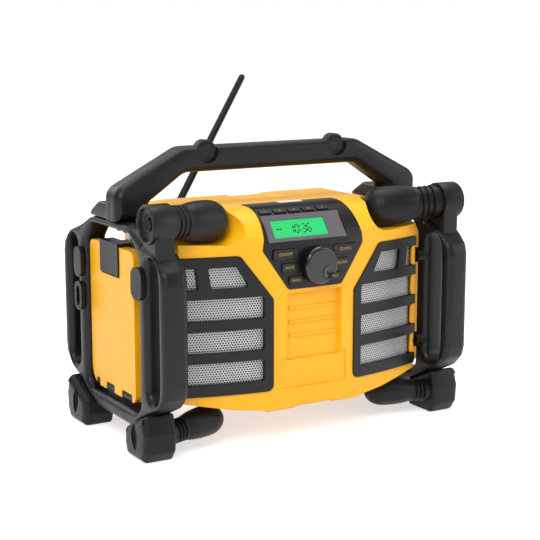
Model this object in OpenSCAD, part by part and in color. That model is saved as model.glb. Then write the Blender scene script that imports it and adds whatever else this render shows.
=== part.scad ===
// Caged jobsite radio. A bowed two-part body hangs between two loop frames, with a carrying
// handle on top, ribbed corner bumpers, four feet, twin speakers behind framed mesh, a control
// panel rolled over the top edge, a hinged door in each side and a whip aerial at the back.
// Millimetres. X runs left to right seen from the front, the front faces -Y, the feet stand on Z 0.

/* [Body] */
// Width of the body between its side walls
body_w = 364; // [344:1:374]
// Height of the body
body_h = 250; // [234:1:260]
// Height of the body's underside above the ground
body_lift = 46; // [42:1:56]
// Distance from the middle to the furthest point of the bowed front
front_y = 128; // [120:1:136]
// Distance from the middle to the flat back
rear_y = 118; // [108:1:126]
// Half width of the flat back, inside the tapered corners
rear_half = 150; // [135:1:165]
// Radius of the bow across the front, seen from above
bow_r = 530; // [450:5:800]
// Radius of the roll from the front up to the top
roll_r = 60; // [50:1:66]
// Wall of the body shells
wall = 3; // [2:0.5:4]

/* [Side frames] */
// Gap between the body's side wall and a side frame
frame_gap = 8; // [6:1:12]
// Thickness of a side frame
frame_t = 33.5; // [30:0.5:36]
// Half depth of a side frame, from its middle to its front face
frame_half = 153.5; // [149:0.5:158]
// Height of the frame's top rail
frame_top = 282; // [276:1:300]
// Height of the underside of the frame's bottom rail
frame_bottom = 29; // [27:1:32]
// Half width of the window in a side frame
window_half = 80.5; // [79.5:0.5:82]
// Thickness of the rails above and below the window
rail_h = 21; // [18:1:23]
// Width of the long slot in each frame post
slot_w = 30; // [24:1:32]

/* [Bumpers and feet] */
// Largest radius of an upper bumper
bumper_r = 26; // [22:0.5:27]
// Length of an upper bumper, from the frame to its tip
bumper_l = 97; // [90:1:100]
// Angle by which a bumper turns in towards the middle
bumper_turn = 18; // [12:1:20]
// Largest radius of a lower bumper
low_bumper_r = 19.5; // [17:0.5:20]
// Length of a lower bumper
low_bumper_l = 86; // [78:1:90]
// How far a foot stands out beyond the frame
foot_proud = 12.5; // [8:0.5:14]

/* [Handle] */
// Height of the handle bar's upper face
handle_top = 369; // [350:1:385]
// Height of the handle bar's section
handle_bar = 32; // [26:1:34]
// Depth of the handle's section, front to back
handle_d = 36; // [32:1:40]
// Half length of the straight part of the handle bar
handle_half = 130; // [120:1:136]
// Radius of the two bolt bosses on the bar
boss_r = 14; // [12:0.5:17]

/* [Doors] */
// How far a side door's face stands out from the body's side wall
door_proud = 34; // [32:0.5:37]
// Depth of a door, which is a shallow lid
door_d = 14; // [12:0.5:16]
// Front edge of a door, measured back from the middle
door_front = -55; // [-58:1:-54]
// Rear edge of a door
door_rear = 77; // [73:1:78]
// Underside of a door
door_low = 57; // [56:1:62]
// Top of a door
door_high = 248; // [242:1:250]
// Radius of a hinge pin
pin_r = 2; // [1.5:0.1:2.5]
// Width of a latch
latch_w = 54; // [40:1:60]
// How deep the boxes behind the doors reach into the body
tub_d = 82; // [60:1:84]

/* [Control panel] */
// Half width of the panel at its widest point
panel_half = 73.5; // [72:0.5:76]
// Radius of the tuning knob
knob_r = 23.8; // [20:0.2:24.5]
// Height of the knob's centre
knob_z = 226; // [222:1:230]
// How far the knob stands out of the panel
knob_h = 15; // [10:0.5:20]
// Width of the display glass
lcd_w = 78; // [66:1:80]
// Height of the display glass
lcd_h = 25; // [20:0.5:27]
// Width of one preset key
preset_w = 17; // [14:0.5:17]

/* [Speakers] */
// Distance from a speaker's centre to the body's side wall
speaker_side = 65; // [62:1:68]
// Height of a speaker's centre
speaker_z = 148; // [140:1:156]
// Radius of a speaker's rim
speaker_r = 50; // [44:0.5:52]
// Distance from the outer end of a grille to the body's side wall
grille_side = 5; // [4:0.5:10]
// How far a grille frame stands out of the body
grille_proud = 2; // [1:0.5:3]

/* [Aerial] */
// Length of the whip from its pivot
whip_l = 234; // [180:1:260]
// Lean of the whip from upright as it stands
whip_lean = 30.7; // [0:0.1:60]
// Radius of the whip at its root
whip_r = 5.2; // [4.2:0.1:5.6]

/* [Clearances] */
// Gap between a piece and the opening that it sits in
seat = 0.3; // [0.2:0.05:0.5]
// Radial clearance of a pin or shaft in its bore
running = 0.05; // [0.02:0.01:0.1]
// Gap all round a moving key
key_gap = 0.4; // [0.3:0.05:0.6]

/* [Hidden] */
$fn = 64;
SIDES = [-1, 1];
half_w = body_w / 2;
body_top = body_lift + body_h;
roll_y = -front_y + roll_r;
roll_z = body_top - roll_r;
frame_in = half_w + frame_gap;
frame_out = frame_in + frame_t;
frame_mid = (frame_in + frame_out) / 2;
window_low = frame_bottom + rail_h;
window_high = frame_top - 11;
post_in = window_half + 23;
slot_mid = post_in + slot_w / 2;
slot_low = frame_bottom + 44;
slot_high = frame_top - 32;
rib_mid = (window_half + post_in) / 2;
// Round cup on a frame that carries an upper bumper
boss_in = frame_in + 7;
boss_out = frame_out + 4;
bumper_y = 107;
bumper_z = frame_top + 7;
bumper_drop = 4;
cup_y = bumper_y + 6;
cup_r = 24;
pocket_gap = 1.5;
// Feet and lower bumpers
foot_in = frame_in + 3.5;
foot_out = frame_out + foot_proud;
low_bumper_y = 101;
low_bumper_z = 29.5;
low_bumper_rise = 3;
low_turn = 15;
// Frame fixings
mount_z = frame_top - 66;
peg_z = frame_bottom + 71;
arm_r = 10;
// Doors and the boxes behind them
pod_x = half_w + door_proud;
door_in = pod_x - door_d;
tub_out = door_in - 1.2;
tub_in = half_w - tub_d;
hinge_x = pod_x - 5;
hinge_z = door_low + 4;
knuckle_r = 5;
KNUCKLES = [[-44, -14], [9, 33], [54, 64]];
latch_mid = (door_front + door_rear) / 2 + 3;
latch_low = door_high - 36.5;
latch_pin_x = pod_x - 3.2;
latch_pin_z = latch_low + 5;
// Panel and keys
panel_low = knob_z - 29;
panel_wide = knob_z + 21;
panel_back_y = roll_y + 10;
// Where the front and rear shells meet
split_y = panel_back_y + 6;
board_y = -front_y + 16;
lcd_x = -16;
bezel_x = -9;
bezel_w = lcd_w + 36;
bezel_h = lcd_h + 13;
lcd_tilt = 38;
lcd_floor = roll_r - 4.8;
preset_tilt = 63;
preset_pitch = preset_w + 4;
preset_x = -13;
preset_h = 7.5;
// Function keys: centre X, centre Z from the knob, width and height
KEY_X = [44, 38.5, 29.5];
KEY_Z = [15.5, -1.5, -18];
KEY_W = [35, 22, 20];
KEY_H = [12.5, 11, 10];
// Speakers
speaker_x = half_w - speaker_side;
grille_out = half_w - grille_side;
baffle_y = -front_y + 40;
// Depth of a speaker, up to 3 mm in front of the boxes behind the doors
speaker_d = door_front + 1 - (baffle_y - 3);
basket_d = speaker_d - 11;
grille_low = body_lift + 24;
grille_high = body_top - 53;
grille_in = 60;
mesh_out = grille_out - 8;
row_pitch = 40;
row_h = 27.5;
// Handle
handle_y = -9.5;
handle_front_y = handle_y - handle_d / 2;
handle_back_y = handle_y + handle_d / 2;
handle_low = handle_top - handle_bar;
boss_x = handle_half - 33;
boss_z = handle_top - 6;
leg_out = frame_out + 2;
leg_in = frame_in - 4;
leg_screw_x = frame_mid;
leg_screw_y = 9;
// Aerial pivot on the back
aerial_x = -78;
aerial_z = body_top - 46;
aerial_y = rear_y + 8.6;
// Housing screws: X and Z
SCREW_X = [95, 98];
SCREW_Z = [body_lift + 15, body_top - 21];

BLACK = "#2a2a2c";
SOFT_BLACK = "#1f1f20";
YELLOW = "#fdb91e";
GREY = "#6c6a72";

PRESETS = [for (i = [1:5]) str("preset_key_", i)];
KEYS = ["left_upper", "left_middle", "left_lower", "right_upper", "right_middle", "right_lower"];

// ---- Outlines ----

function unit(v) = v / norm(v);
function turn(a, b) = let (d = b - a) d > 180 ? d - 360 : d < -180 ? d + 360 : d;

// The points of one rounded corner at b, between a and c
function corner(a, b, c, r) =
    r <= 0 ? [b] :
    let (u = unit(a - b), v = unit(c - b), h = acos(u * v) / 2, m = b + unit(u + v) * r / sin(h),
         p = b + u * r / tan(h) - m, q = b + v * r / tan(h) - m, n = max(3, round(r / 4)),
         a0 = atan2(p[1], p[0]), d = turn(a0, atan2(q[1], q[0])))
    [for (i = [0:n]) m + r * [cos(a0 + d * i / n), sin(a0 + d * i / n)]];

// A closed outline from points that each carry their own corner radius
function rounded(pts) =
    let (k = len(pts), p = [for (t = pts) [t[0], t[1]]])
    [for (i = [0:k - 1]) each corner(p[(i + k - 1) % k], p[i], p[(i + 1) % k], pts[i][2])];

// The right half of a symmetric outline, listed upwards, with its mirror image
function both(pts) = concat(pts, [for (i = [len(pts) - 1:-1:0]) [-pts[i][0], pts[i][1], pts[i][2]]]);

function box_outline(x0, x1, y0, y1, r) = rounded([[x0, y0, r], [x1, y0, r], [x1, y1, r], [x0, y1, r]]);

// Y of the bowed front at x, inset by g
function bow_y(x, g) = -front_y + bow_r - sqrt(pow(bow_r - g, 2) - x * x);

// An outline in X and Z, run along Y
module along_y(y0, y1) translate([0, y1, 0]) rotate([90, 0, 0]) linear_extrude(y1 - y0) children();

// An outline in Y and Z, run along X
module along_x(x0, x1) translate([x0, 0, 0]) rotate([90, 0, 90]) linear_extrude(x1 - x0) children();

module rod_y(x, z, y0, y1, r) translate([x, y0, z]) rotate([-90, 0, 0]) cylinder(h = y1 - y0, r = r);
module rod_x(y, z, x0, x1, r) translate([x0, y, z]) rotate([0, 90, 0]) cylinder(h = x1 - x0, r = r);

// Copies made for the right front are mirrored to the other sides and corners
module to_side(s) mirror([s < 0 ? 1 : 0, 0, 0]) children();
module both_sides() for (s = SIDES) to_side(s) children();
module to_end(sy) mirror([0, sy > 0 ? 1 : 0, 0]) children();
module to_corner(sx, sy) to_side(sx) to_end(sy) children();

// ---- Body shape ----

function plan_outline(g) =
    let (h = half_w - g, y = bow_y(half_w - 14, 0) + 14)
    rounded([[-h + 24, -front_y - 8, 0], [h - 24, -front_y - 8, 0], [h, y, 12], [h, 25, 60],
             [rear_half - g, rear_y - g, 22], [-rear_half + g, rear_y - g, 22], [-h, 25, 60], [-h, y, 12]]);

function face_outline(g) =
    let (h = half_w - g, low = body_lift + g, high = body_top - g)
    rounded(both([[26, low, 3], [31, low - 4, 3], [66, low - 4, 4], [78, low, 8], [112, low + 4, 60],
                  [h, low + 18, 12], [h, body_top - 48, 10], [h - 14, high - 13, 24], [118, high, 60]]));

function side_outline(g) =
    let (f = -front_y + g, b = rear_y - g, low = body_lift + g, high = body_top - g)
    rounded([[f, low - 4, 8], [f, high, roll_r - g], [b, high, 80 - g], [b, low - 4, 12]]);

// The hollow in a top corner of the body, open upwards and forwards, in which a bumper lies
module bumper_pocket(g) {
    r = bumper_r + pocket_gap + g;
    at_bumper() {
        translate([0, 0, -20]) cylinder(h = bumper_l - 6, r = r);
        translate([0, 0, bumper_l - 26]) sphere(r = r);
        translate([0, -r, -20]) cube([60, 2 * r, bumper_l - 6]);
        translate([0, 0, bumper_l - 26]) rotate([0, 90, 0]) cylinder(h = 60, r = r);
        translate([-r, -60, -20]) cube([60 + r, 60, bumper_l - 6]);
        translate([0, 0, bumper_l - 26]) rotate([90, 0, 0]) cylinder(h = 60, r = r);
    }
}

module at_bumper()
    translate([boss_in, -bumper_y, bumper_z]) rotate([0, -90 - bumper_drop, -bumper_turn]) children();

module at_low_bumper()
    translate([foot_in, -low_bumper_y, low_bumper_z])
        rotate([0, -90 + low_bumper_rise, -low_turn]) children();

// The sunk field below the panel and the shallower one under it
module front_recess(g) {
    translate([0, 0, grille_low + 36 - g]) linear_extrude(panel_low - grille_low - 41 + 2 * g)
        polygon([[-47 - g, -front_y - 20], [47 + g, -front_y - 20], [38 + g, -front_y + 8 + g],
                 [-38 - g, -front_y + 8 + g]]);
    translate([0, 0, grille_low - g]) linear_extrude(40)
        polygon([[-52 - g, -front_y - 20], [52 + g, -front_y - 20], [48 + g, -front_y + 4 + g],
                 [-48 - g, -front_y + 4 + g]]);
}

// The shallow channel along the middle of the top
module top_channel(g)
    along_y(-10 - g, rear_y + 30) polygon([[-40 - g, body_top + 5], [40 + g, body_top + 5],
        [27 + g, body_top - 5.5 - g], [-27 - g, body_top - 5.5 - g]]);

// The whole body, inset by g all round
module body_shape(g) difference() {
    intersection() {
        linear_extrude(body_top + 10) polygon(plan_outline(g));
        translate([0, -front_y + bow_r, 0]) cylinder(h = body_top + 10, r = bow_r - g, $fn = 360);
        along_y(-front_y - 20, rear_y + 20) polygon(face_outline(g));
        along_x(-half_w - 20, half_w + 20) polygon(side_outline(g));
    }
    both_sides() bumper_pocket(g);
    front_recess(g);
    top_channel(g);
}

module body_shell() difference() {
    body_shape(0);
    body_shape(wall);
}

// The six-sided field of the control panel, from the front, and where it ends on top
module panel_field(g) along_y(-front_y - 20, panel_back_y + g)
    polygon(rounded(both([[39 + g / 2, panel_low - g, 5], [panel_half + g, panel_wide, 6],
                          [panel_half - 8 + g, body_top + 8, 0]])));

module grille_field(g, out = grille_out) along_y(-front_y - 20, roll_y)
    polygon(rounded([[grille_in - g, grille_low - g, 8], [out + g, grille_low - g, 3],
                     [out + g, grille_high + g, 3], [grille_in + 43 - g / 2, grille_high + g, 8],
                     [grille_in - g, grille_high - 56 + g / 2, 8]]));

// Where the body reaches in between the outer ends of a grille's bars
module grille_tabs(g) along_y(-front_y - 30, roll_y + 10) {
    for (i = [0:2]) {
        z = grille_low + 14 + row_pitch * i;
        polygon(box_outline(mesh_out + g, grille_out + 20, z + g, z + row_h - g, 3));
    }
    z = grille_low + 14 + row_pitch * 3;
    polygon(box_outline(mesh_out + g, grille_out + 20, z + g, z + row_h - 1 - g, 3));
}

function door_outline(g) = rounded([[door_front - g, door_low - g, 10], [door_rear + g, door_low - g, 24],
                                    [door_rear + g, door_high + g, 10], [door_front - g, door_high + g, 10]]);

module tub_field(g) along_x(tub_in - g, tub_out) polygon(door_outline(g - 4));

// ---- Housings ----

// Where the screws and pegs of the side frames end inside the body, at the front and the rear
function fix_end(sy) = sy < 0 ? half_w - 6 : rear_half - 3;

// Bosses inside the body's wall that take the screws of the side frames, and their bores
module fix_bosses(sy) both_sides() rod_x(sy * rib_mid, mount_z, fix_end(sy) - 0.5, half_w, 7);
module fix_bores(sy) both_sides() {
    rod_x(sy * rib_mid, mount_z, fix_end(sy) - 1, frame_in, 2.1);
    rod_x(sy * rib_mid, peg_z, fix_end(sy) - 10, frame_in, 6 + running);
}

module screw_post(y0, y1) for (s = SIDES, i = [0:1]) {
    rod_y(s * SCREW_X[i], SCREW_Z[i], y0, y1, 7);
    translate([s * SCREW_X[i] - 3, y0, i == 0 ? body_lift + 1 : SCREW_Z[i]]) cube([6, y1 - y0, 12]);
}

module front_housing() color(YELLOW) difference() {
    union() {
        difference() {
            intersection() {
                body_shell();
                translate([-half_w - 20, -front_y - 20, 0]) cube([body_w + 40, front_y + 20 + split_y, 400]);
            }
            panel_field(seat);
            both_sides() difference() {
                grille_field(seat);
                grille_tabs(seat);
            }
        }
        intersection() {
            body_shape(1);
            union() {
                both_sides() translate([grille_in - 6, baffle_y, grille_low - 6])
                    cube([mesh_out - grille_in + 11, wall, grille_high - grille_low + 10]);
                screw_post(split_y - 24, split_y);
                fix_bosses(-1);
            }
        }
        // Thin ribs across the sunk field
        for (i = [0:2]) translate([-36, -front_y + 6, grille_low + 64.5 + 17.5 * i]) cube([72, 3, 3]);
    }
    for (s = SIDES) rod_y(s * speaker_x, speaker_z, baffle_y - 1, baffle_y + wall + 1, speaker_r - 3.5);
    both_sides() tub_field(seat);
    fix_bores(-1);
    for (s = SIDES, i = [0:1]) rod_y(s * SCREW_X[i], SCREW_Z[i], split_y - 18, split_y + 1, 1.9 + running);
}

module rear_housing() color(YELLOW) difference() {
    union() {
        intersection() {
            body_shell();
            translate([-half_w - 20, split_y, 0]) cube([body_w + 40, rear_y + 40 - split_y, 400]);
        }
        intersection() {
            body_shape(1);
            union() {
                screw_post(split_y, rear_y);
                fix_bosses(1);
            }
        }
        // Post that carries the aerial's pivot
        rod_y(aerial_x, aerial_z, rear_y - 14, rear_y + 4, 11);
        rod_y(aerial_x, aerial_z, rear_y, aerial_y + 3.7, 3.5);
    }
    both_sides() tub_field(seat);
    fix_bores(1);
    for (s = SIDES, i = [0:1]) {
        rod_y(s * SCREW_X[i], SCREW_Z[i], split_y - 1, rear_y + 1, 1.9 + running);
        rod_y(s * SCREW_X[i], SCREW_Z[i], split_y + 20, rear_y + 1, 4);
    }
    // Vent slots in the back and the hole for the mains inlet
    for (i = [0:7]) along_y(rear_y - 10, rear_y + 5)
        polygon(box_outline(-44, 44, 176 + 9 * i, 180 + 9 * i, 1.9));
    along_y(rear_y - 10, rear_y + 5) polygon(box_outline(-15 - seat, 15 + seat, 78 - seat, 98 + seat, 3));
}

module housing_screws() color("silver") for (s = SIDES, i = [0:1]) difference() {
    union() {
        rod_y(s * SCREW_X[i], SCREW_Z[i], split_y - 16, split_y + 20, 1.9);
        rod_y(s * SCREW_X[i], SCREW_Z[i], split_y + 20, split_y + 23, 3.7);
    }
    rod_y(s * SCREW_X[i], SCREW_Z[i], split_y + 21.5, split_y + 24, 1.4);
}

// ---- Control panel ----

// A frame on the rolled part of the panel: X along the radio, Y up the roll, Z outwards
module on_roll(angle) translate([0, roll_y, roll_z]) rotate([90 - angle, 0, 0]) children();

module key_field(i, s, g) {
    x = s * KEY_X[i];
    z = knob_z + KEY_Z[i];
    w = KEY_W[i] / 2 + g;
    h = KEY_H[i] / 2 + g;
    polygon(box_outline(x - w, x + w, z - h, z + h, 3));
}

module preset_field(i, g) {
    x = preset_x + preset_pitch * (i - 3);
    w = preset_w / 2 + g;
    h = preset_h / 2 + g;
    polygon(box_outline(x - w, x + w, -h, h, 1.5));
}

module rect(w, h) square([w, h], center = true);

module control_panel() color(BLACK) difference() {
    union() {
        intersection() {
            difference() {
                body_shape(-1);
                body_shape(wall);
            }
            panel_field(0);
        }
        // Flange behind the housing wall, and the floor under the bezel
        intersection() {
            difference() {
                body_shape(wall + seat);
                body_shape(wall + seat + 2);
            }
            panel_field(5);
            translate([-100, -front_y, panel_low - 3]) cube([200, front_y + panel_back_y + 4, 200]);
        }
        on_roll(lcd_tilt) translate([bezel_x, 0, lcd_floor - 3]) linear_extrude(3)
            rect(bezel_w + 4, bezel_h + 4);
        for (s = SIDES) rod_y(s * 60, knob_z + 3, -front_y + 8.6, board_y, 2.8);
        for (s = SIDES) on_roll(preset_tilt) translate([preset_x + s * 55, 1.5, roll_r - 12])
            cylinder(h = 8, r = 2);
    }
    on_roll(lcd_tilt) {
        translate([bezel_x, 0, lcd_floor]) linear_extrude(20) rect(bezel_w + 2 * seat, bezel_h + 2 * seat);
        translate([lcd_x, -1, lcd_floor - 9]) linear_extrude(20) rect(lcd_w - 4, lcd_h - 4);
    }
    on_roll(preset_tilt) for (i = [1:5])
        translate([0, 0, roll_r - 12]) linear_extrude(30) preset_field(i, key_gap);
    for (i = [0:2], s = SIDES) along_y(-front_y - 10, board_y - 4) key_field(i, s, key_gap);
    rod_y(0, knob_z, -front_y - 10, board_y, 4);
}

module lcd_bezel() color(GREY) on_roll(lcd_tilt) difference() {
    translate([bezel_x, 0, lcd_floor]) linear_extrude(3.6) rect(bezel_w, bezel_h);
    translate([lcd_x, -1, lcd_floor - 1]) linear_extrude(6) rect(lcd_w + 2 * seat, lcd_h + 2 * seat);
}

module lcd_lens() color("#12b464") on_roll(lcd_tilt)
    translate([lcd_x, -1, lcd_floor]) linear_extrude(2.6) rect(lcd_w, lcd_h);

module lcd_module() color("#3a4a44") on_roll(lcd_tilt) {
    translate([lcd_x, -1, lcd_floor - 9]) linear_extrude(6) rect(lcd_w + 8, lcd_h + 3);
    translate([lcd_x, -1, lcd_floor - 3]) linear_extrude(2.7) rect(lcd_w - 5, lcd_h - 5);
}

module panel_label() color("#d9d9de")
    translate([-18, panel_back_y - 12, body_top + 1]) cube([34, 8.5, 0.9]);

module panel_board() color("#1d5b33") {
    // Strip under the preset keys, with a switch for each
    on_roll(preset_tilt) {
        translate([preset_x, 1.5, roll_r - 13.6]) linear_extrude(1.6) rect(114, 13);
        for (i = [-2:2]) translate([preset_x + preset_pitch * i, 0, roll_r - 12]) cylinder(h = 1.5, r = 2.5);
    }
    difference() {
        union() {
            translate([-66, board_y, panel_low + 4]) cube([132, 1.6, 46]);
            for (i = [0:2], s = SIDES) rod_y(s * KEY_X[i], knob_z + KEY_Z[i], board_y - 2.5, board_y, 3);
        }
        rod_y(0, knob_z, board_y - 1, board_y + 3, 3.6);
    }
}

module tuning_knob() color(SOFT_BLACK) difference() {
    translate([0, -front_y - 1 - seat, knob_z]) rotate([90, 0, 0]) difference() {
        rotate_extrude($fn = 96) polygon(concat([[0, 0], [knob_r, 0], [knob_r, knob_h - 5]],
            [for (a = [0:15:90]) [knob_r - 4 + 4 * cos(a), knob_h - 4 + 4 * sin(a)]], [[0, knob_h]]));
        // Finger dimple in the face and flutes round the rim
        translate([9, -9, knob_h + 9]) sphere(r = 13);
        for (a = [0:15:345]) rotate(a) translate([knob_r + 0.9, 0, -1])
            cylinder(h = knob_h - 4, r = 1.6, $fn = 24);
    }
    rod_y(0, knob_z, -front_y - knob_h + 4, -front_y + 1, 3 + running);
}

module knob_shaft() color("silver") rod_y(0, knob_z, -front_y - knob_h + 4.5, board_y + 6, 3);

module knob_encoder() color("#4d4d52") difference() {
    union() {
        translate([-8, board_y - 6, knob_z - 8]) cube([16, 5.7, 16]);
        rod_y(0, knob_z, board_y - 9, board_y - 6, 3.7);
    }
    rod_y(0, knob_z, board_y - 10, board_y + 1, 3 + running);
}

// One preset key: a cap on the roll with a wider foot behind the panel
module preset_key(i) color(SOFT_BLACK) on_roll(preset_tilt) {
    translate([0, 0, roll_r - 9]) linear_extrude(11.5) preset_field(i, 0);
    translate([0, 0, roll_r - 9]) linear_extrude(3) preset_field(i, 1.2);
}

module function_key(i, s) color(SOFT_BLACK) {
    along_y(bow_y(KEY_X[i], -1) - 1.8, board_y - 4) key_field(i, s, 0);
    along_y(board_y - 5.6, board_y - 4) key_field(i, s, 1.4);
}

// ---- Speakers and grilles ----

module grille_cells() {
    for (i = [0:2]) {
        z = grille_low + 14 + row_pitch * i;
        polygon(box_outline(grille_in + 11.5, grille_out + 20, z, z + row_h, 3));
    }
    z = grille_low + 14 + row_pitch * 3;
    polygon(rounded([[grille_in + 31, z, 3], [grille_out - 38, z, 3], [grille_out - 34, z + row_h - 1, 3],
                     [grille_in + 46, z + row_h - 1, 3]]));
    polygon(rounded([[grille_out - 23, z, 2], [grille_out + 20, z, 2], [grille_out + 20, z + row_h - 1, 2],
                     [grille_out - 20, z + row_h - 1, 2]]));
}

module grille_frame(s) color(BLACK) to_side(s) difference() {
    intersection() {
        difference() {
            body_shape(-grille_proud);
            body_shape(wall + 1);
        }
        grille_field(0);
    }
    along_y(-front_y - 20, 0) grille_cells();
}

module speaker_mesh(s) color("#b4b4b4") to_side(s) intersection() {
    difference() {
        body_shape(wall + 1 + seat);
        body_shape(wall + 2.4 + seat);
    }
    grille_field(-1, mesh_out + 2);
}

module on_speaker(s) translate([s * speaker_x, baffle_y - 3, speaker_z]) rotate([-90, 0, 0]) children();

module speaker_basket(s) color("#55565a") on_speaker(s) {
    rotate_extrude($fn = 96) polygon([[speaker_r - 8.2, 0], [speaker_r, 0], [speaker_r, 3],
        [speaker_r - 4, 3], [speaker_r - 16, basket_d - 3], [speaker_r - 16, basket_d], [9, basket_d],
        [9, basket_d - 2.5], [speaker_r - 19, basket_d - 2.5], [speaker_r - 8.2, 2.5]]);
    translate([0, 0, basket_d]) difference() {
        cylinder(h = 11, r = 30);
        translate([0, 0, -1]) cylinder(h = 13, r = 9);
    }
}

module speaker_cone(s) color("#26262a") on_speaker(s)
    rotate_extrude($fn = 96) polygon([[0, basket_d - 12], [9, basket_d - 10], [14, basket_d - 7],
        [speaker_r - 12, 0.4], [speaker_r - 10, -1], [speaker_r - 8.5, 0.4], [speaker_r - 8.5, 1.6],
        [speaker_r - 12, 1.8], [13, basket_d - 4.5], [8.5, basket_d - 4.5], [8.5, basket_d + 4],
        [7, basket_d + 4], [7, basket_d - 6], [0, basket_d - 9]]);

// ---- Side frames ----

function frame_outline() = rounded(both([[48, frame_bottom, 16], [115, frame_bottom + 31, 14],
    [132, frame_bottom + 39, 10], [frame_half - 4.5, frame_bottom + 55, 12],
    [frame_half, frame_bottom + 69, 12], [frame_half, frame_top - 60, 16],
    [frame_half - 4, frame_top - 46, 12], [126, frame_top - 28, 12],
    [96, frame_top - 17, 10], [66, frame_top - 5, 10], [48, frame_top, 12]]));

// The neck of the frame that carries the round cup of an upper bumper
function neck_outline() = rounded([[-cup_y + 21, frame_top - 26, 0], [-cup_y + 20, bumper_z, 0],
    [-cup_y - 20, bumper_z, 0], [-cup_y - 19, frame_top - 34, 0]]);

module side_frame(s) color(BLACK) to_side(s) difference() {
    union() {
        along_x(frame_in, frame_out) difference() {
            polygon(frame_outline());
            polygon(rounded(both([[window_half, window_low, 18], [window_half, window_high - 26, 14],
                                  [window_half - 22, window_high, 14]])));
            for (sy = SIDES) translate([sy * slot_mid, 0])
                polygon(box_outline(-slot_w / 2, slot_w / 2, slot_low, slot_high, slot_w / 2 - 0.1));
        }
        along_x(boss_in, frame_out - 2) polygon(neck_outline());
        rod_x(-cup_y, bumper_z, boss_in, boss_out, cup_r);
        // Arms that meet the body's side: a screw runs through the upper ones, a peg ends the lower ones
        difference() {
            for (sy = SIDES, z = [mount_z, peg_z]) rod_x(sy * rib_mid, z, rear_half, frame_in + 1, arm_r);
            body_shape(-seat);
        }
        for (sy = SIDES) rod_x(sy * rib_mid, peg_z, fix_end(sy), frame_in, 6);
    }
    // Sunk face of the cup and the bumper screw's bore
    rod_x(-cup_y, bumper_z, boss_out - 4, boss_out + 1, cup_r - 4);
    at_bumper() translate([0, 0, -50]) cylinder(h = 60, r = 3.2);
    at_bumper() translate([0, 0, -50]) cylinder(h = 24, r = 5.6);
    for (sy = SIDES) {
        // Bores of the body screws, the foot screws and the handle screws
        rod_x(sy * rib_mid, mount_z, rear_half - 1, frame_out + 1, 2.6);
        rod_x(sy * rib_mid, mount_z, frame_out - 5, frame_out + 1, 5.2);
        translate([frame_mid, sy * rib_mid, 30]) cylinder(h = 45, r = 2.6);
        translate([leg_screw_x, handle_y + sy * leg_screw_y, window_high - 5])
            cylinder(h = 30, r = 3 + running);
    }
}

// Screws that hold the bumpers, the body, the handle and the feet to the frames
module frame_screws() color("silver") {
    both_sides() at_bumper() {
        translate([0, 0, -26]) cylinder(h = 64, r = 3);
        translate([0, 0, -29.5]) cylinder(h = 3.5, r = 5.2);
    }
    for (s = SIDES, sy = SIDES) to_side(s) {
        rod_x(sy * rib_mid, mount_z, fix_end(sy), frame_out - 5, 2.05);
        rod_x(sy * rib_mid, mount_z, frame_out - 5, frame_out - 1.5, 4.8);
        translate([leg_screw_x, handle_y + sy * leg_screw_y, window_high - 3.5]) cylinder(h = 3.5, r = 5);
        translate([leg_screw_x, handle_y + sy * leg_screw_y, window_high]) cylinder(h = 26, r = 3);
        translate([frame_mid, sy * rib_mid, 18]) cylinder(h = 52, r = 2.55);
        translate([frame_mid, sy * rib_mid, 14.5]) cylinder(h = 3.5, r = 5);
    }
}

// Oblong rubber pads over the body screws, and the loops below the rear ones. What lies behind
// the doors stands clear of their rear edge, past which they swing.
module frame_pads() color(SOFT_BLACK) for (s = SIDES) to_side(s) {
    pad_in = window_half - 1;
    along_x(frame_out, frame_out + 5) {
        polygon(box_outline(-post_in + 1, -window_half + 8, mount_z - 20, mount_z + 20, 12));
        polygon(box_outline(pad_in, post_in - 1, mount_z - 20, mount_z + 20, 10));
    }
    along_x(frame_out, frame_out + 5) difference() {
        polygon(box_outline(pad_in, post_in - 1, mount_z - 64, mount_z - 26, 10));
        polygon(box_outline(pad_in + 6, post_in - 7, mount_z - 58, mount_z - 32, 5));
    }
}

// ---- Bumpers and feet ----

// Radii of a ribbed neck and a rounded head, from the root at 0 to the tip at l
function bumper_profile(r, neck, l, ribs, pitch) = concat([[0, -14], [neck, -14], [neck, 3]],
    [for (i = [0:ribs - 1]) each [[neck - 3.2, 4.5 + pitch * i], [neck - 3.2, 6 + pitch * i],
                                  [neck - 0.6, 7.5 + pitch * i], [neck - 0.6, 3 + pitch * (i + 1)]]],
    let (a = 4.5 + pitch * ribs)
    [for (t = [0:0.1:1]) [r - (r - neck + 1) * pow(1 - t, 2.5), a + (l * 0.72 - a) * t]],
    [for (t = [10:10:90]) [r * cos(t), l * (0.72 + 0.28 * sin(t))]]);

module bumper(sx, sy) color(SOFT_BLACK) to_corner(sx, sy) difference() {
    at_bumper() rotate_extrude($fn = 96) polygon(bumper_profile(bumper_r, bumper_r - 4, bumper_l, 3, 7.6));
    translate([boss_in, -200, 200]) cube([60, 200, 200]);
    at_bumper() translate([0, 0, -30]) cylinder(h = 70, r = 3 + running);
}

module low_bumper(sx, sy) color(SOFT_BLACK) to_corner(sx, sy) {
    difference() {
        at_low_bumper() rotate_extrude($fn = 96)
            polygon(bumper_profile(low_bumper_r, low_bumper_r - 4, low_bumper_l, 3, 5.6));
        translate([foot_in, -200, -50]) cube([60, 200, 200]);
    }
    at_low_bumper() translate([0, 0, -16]) cylinder(h = 22, r = 8);
}

// A foot's outline at the front, with its top along the underside of the frame
function foot_top(y) = frame_bottom + (y - 48) * 31 / 67;
function foot_outline() = rounded([[-66, 0, 5], [-113, 0, 5], [-122, 13, 8], [-124, 36, 10],
    [-116, foot_top(116) - 0.1, 3], [-62, foot_top(62) - 0.1, 3], [-60, 16, 8]]);

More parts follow.
